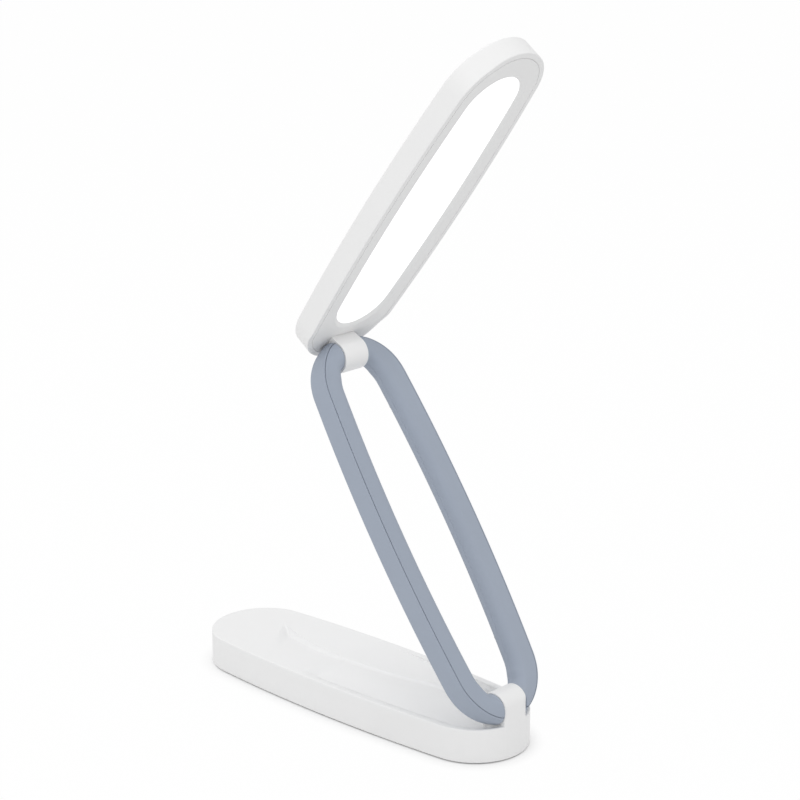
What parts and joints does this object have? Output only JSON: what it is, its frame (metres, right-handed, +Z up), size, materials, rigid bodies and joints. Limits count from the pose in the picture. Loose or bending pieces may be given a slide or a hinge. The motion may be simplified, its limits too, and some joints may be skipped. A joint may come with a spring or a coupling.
{
  "type": "folding led desk lamp",
  "caption": "Free-standing folding desk lamp: an oval base, an open loop arm and a flat lit head of one outline, joined by two friction hinges so that they fold into a stack.",
  "frame": {"origin": "middle of the base's outline, at the table under the feet", "axes": "+X along both hinge axes, +Y from the hinge end of the base to its free end, +Z up"},
  "size_m": [0.0606, 0.2, 0.3421],
  "materials": {
    "white_shell": "fine satin moulding",
    "white_cover": "satin moulding",
    "face_frame": "fine satin moulding",
    "slate_shell": "soft touch matt",
    "slate_cover": "soft touch matt",
    "opal_diffuser": "opal, lit from behind",
    "tray_white": "matt white",
    "foot_rubber": "matt",
    "screw_steel": "nickel plated",
    "ballast_steel": "zinc plated plate",
    "battery_wrap": "heat shrink wrap",
    "board_green": "solder mask",
    "board_white": "white solder mask on metal",
    "chip_phosphor": "clear over phosphor",
    "socket_steel": "plated",
    "touch_copper": "copper foil",
    "spring_steel": "spring steel",
    "pin_steel": "ground",
    "washer_plastic": "low friction",
    "lead_jacket": "matt"
  },
  "bodies": {
    "base": {"base_housing": "white_shell", "base_cover": "white_cover", "base_feet": "foot_rubber", "base_screws": "screw_steel", "ballast_plate": "ballast_steel", "battery_pack": "battery_wrap", "control_board": "board_green", "charging_socket": "socket_steel", "touch_plate": "touch_copper", "touch_spring": "spring_steel", "base_lead": "lead_jacket", "lower_clips": "spring_steel", "lower_washers": "washer_plastic"},
    "arm": {"lower_pin": "pin_steel", "arm_left_back": "slate_shell", "arm_left_front": "slate_cover", "arm_right_back": "slate_shell", "arm_right_front": "slate_cover", "arm_screws": "screw_steel", "arm_lead": "lead_jacket", "upper_pin": "pin_steel"},
    "head": {"upper_washers": "washer_plastic", "upper_clips": "spring_steel", "head_housing": "white_shell", "head_frame": "face_frame", "head_knuckle": "white_shell", "knuckle_screws": "screw_steel", "diffuser": "opal_diffuser", "reflector_tray": "tray_white", "light_board": "board_white", "light_chips": "chip_phosphor", "light_screws": "screw_steel", "head_lead": "lead_jacket"}
  },
  "joints": [
    {"name": "lower_hinge", "type": "hinge", "parent": "base", "child": "arm", "pos_m": [0, -0.09196, 0.02506], "axis": [1, 0, 0], "range_deg": [-51.8, 42]},
    {"name": "upper_hinge", "type": "hinge", "parent": "arm", "child": "head", "pos_m": [0, 0.01164, 0.17808], "axis": [1, 0, 0], "range_deg": [-71, 108.4]}
  ]
}
